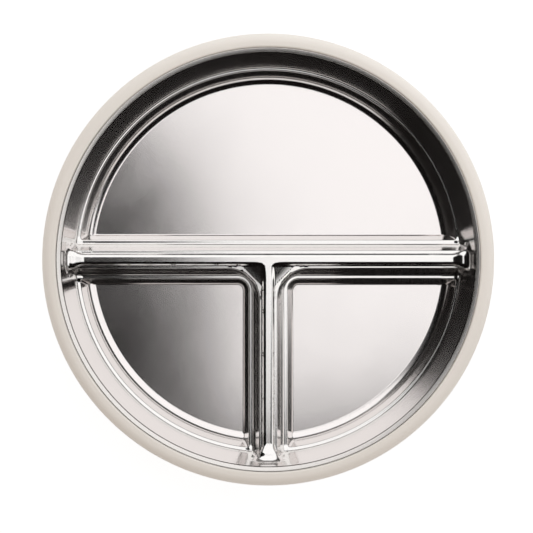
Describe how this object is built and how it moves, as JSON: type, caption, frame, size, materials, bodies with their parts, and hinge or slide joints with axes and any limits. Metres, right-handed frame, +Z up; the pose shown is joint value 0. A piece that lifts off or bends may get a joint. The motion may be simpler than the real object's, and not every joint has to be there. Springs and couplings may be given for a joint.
{
  "type": "divided compartment plate",
  "caption": "Round divided plate: a steel tray with a T-shaped divider and a rolled bead, lifted out of a moulded shell with a rounded lip and a non-slip ring underneath.",
  "frame": {"origin": "on the surface that the plate stands on, under the middle of the plate", "axes": "+Z up out of the compartments, +Y towards the half-moon compartment, the bar of the divider along X"},
  "size_m": [0.2, 0.2, 0.038],
  "materials": {
    "steel": "fine satin on the floors, bright polish on the walls and the divider",
    "shell_plastic": "matte warm cream",
    "grip_rubber": "matte silicone"
  },
  "bodies": {
    "shell": {"outer_shell": "shell_plastic", "grip_ring": "grip_rubber"},
    "tray": {"steel_tray": "steel"}
  },
  "joints": [
    {"name": "tray_lift", "type": "slide", "parent": "shell", "child": "tray", "axis": [0, 0, 1], "range_m": [0, 0.06]}
  ]
}
